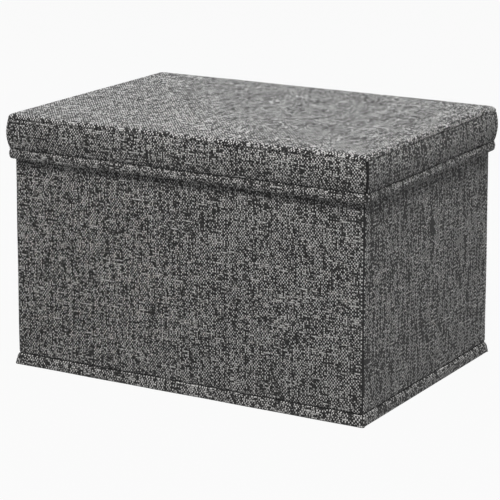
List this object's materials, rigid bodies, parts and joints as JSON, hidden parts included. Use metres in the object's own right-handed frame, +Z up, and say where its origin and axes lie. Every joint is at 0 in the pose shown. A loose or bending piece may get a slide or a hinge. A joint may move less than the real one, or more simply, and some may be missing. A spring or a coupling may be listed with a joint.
{
  "type": "foldable storage box",
  "caption": "Rectangular fabric storage box with stiff folding walls, a folding base and a padded lift-off lid with a deep skirt.",
  "frame": {"origin": "middle of the underside, on the surface that the box stands on", "axes": "+X along the long walls, to the right seen from the front; -Y out of the front wall; +Z up out of the lid"},
  "size_m": [0.3932, 0.2782, 0.252],
  "materials": {
    "tweed_cloth": "charcoal and grey melange weave",
    "hem_cloth": "charcoal and grey melange weave, stitched",
    "lining_cloth": "pressed nonwoven",
    "covered_board": "board covered in nonwoven",
    "greyboard": "raw greyboard",
    "foam": "soft foam sheet"
  },
  "bodies": {
    "front_wall": {"front_cover": "tweed_cloth", "front_board": "greyboard", "front_lining": "lining_cloth", "front_hem": "hem_cloth", "bottom_cloth": "lining_cloth"},
    "right_front_panel": {"right_front_cover": "tweed_cloth", "right_front_board": "greyboard", "right_front_lining": "lining_cloth", "right_front_hem": "hem_cloth"},
    "right_rear_panel": {"right_rear_cover": "tweed_cloth", "right_rear_board": "greyboard", "right_rear_lining": "lining_cloth", "right_rear_hem": "hem_cloth"},
    "back_wall": {"back_cover": "tweed_cloth", "back_board": "greyboard", "back_lining": "lining_cloth", "back_hem": "hem_cloth"},
    "left_front_panel": {"left_front_cover": "tweed_cloth", "left_front_board": "greyboard", "left_front_lining": "lining_cloth", "left_front_hem": "hem_cloth"},
    "left_rear_panel": {"left_rear_cover": "tweed_cloth", "left_rear_board": "greyboard", "left_rear_lining": "lining_cloth", "left_rear_hem": "hem_cloth"},
    "base_front": {"base_board_front": "covered_board"},
    "base_rear": {"base_board_rear": "covered_board"},
    "lid": {"lid_top_cover": "tweed_cloth", "lid_pad": "foam", "lid_board": "greyboard", "lid_lining": "lining_cloth", "lid_hem_band": "hem_cloth", "lid_skirt_front": "tweed_cloth", "lid_skirt_back": "tweed_cloth", "lid_skirt_right": "tweed_cloth", "lid_skirt_left": "tweed_cloth", "lid_stiffener_front": "greyboard", "lid_stiffener_back": "greyboard", "lid_stiffener_right": "greyboard", "lid_stiffener_left": "greyboard"}
  },
  "joints": [
    {"name": "fold", "type": "hinge", "parent": "front_wall", "child": "right_front_panel", "pos_m": [0.1853, -0.1247, 0], "axis": [0, 0, 1], "range_deg": [0, 90], "deforming": ["bottom_cloth"]},
    {"name": "right_crease", "type": "hinge", "parent": "right_front_panel", "child": "right_rear_panel", "pos_m": [0.1934, 0, 0], "axis": [0, 0, 1], "range_deg": [-180, 0]},
    {"name": "right_back_corner", "type": "hinge", "parent": "right_rear_panel", "child": "back_wall", "pos_m": [0.1853, 0.1247, 0], "axis": [0, 0, 1], "range_deg": [0, 90]},
    {"name": "left_front_corner", "type": "hinge", "parent": "front_wall", "child": "left_front_panel", "pos_m": [-0.1853, -0.1247, 0], "axis": [0, 0, 1], "range_deg": [-90, 0]},
    {"name": "left_crease", "type": "hinge", "parent": "left_front_panel", "child": "left_rear_panel", "pos_m": [-0.1934, 0, 0], "axis": [0, 0, 1], "range_deg": [0, 180]},
    {"name": "base_front_fold", "type": "hinge", "parent": "front_wall", "child": "base_front", "pos_m": [0, -0.1275, 0.0036], "axis": [1, 0, 0], "range_deg": [0, 90]},
    {"name": "base_rear_fold", "type": "hinge", "parent": "back_wall", "child": "base_rear", "pos_m": [0, 0.1275, 0.0036], "axis": [1, 0, 0], "range_deg": [-90, 0]},
    {"name": "lid_lift", "type": "slide", "parent": "front_wall", "child": "lid", "axis": [0, 0, 1], "range_m": [0, 0.15]}
  ],
  "couplings": [
    {"joint": "right_crease", "follows": "fold", "ratio": -2},
    {"joint": "right_back_corner", "follows": "fold", "ratio": 1},
    {"joint": "left_front_corner", "follows": "fold", "ratio": -1},
    {"joint": "left_crease", "follows": "fold", "ratio": 2},
    {"joint": "base_front_fold", "follows": "fold", "ratio": 1},
    {"joint": "base_rear_fold", "follows": "fold", "ratio": -1}
  ]
}
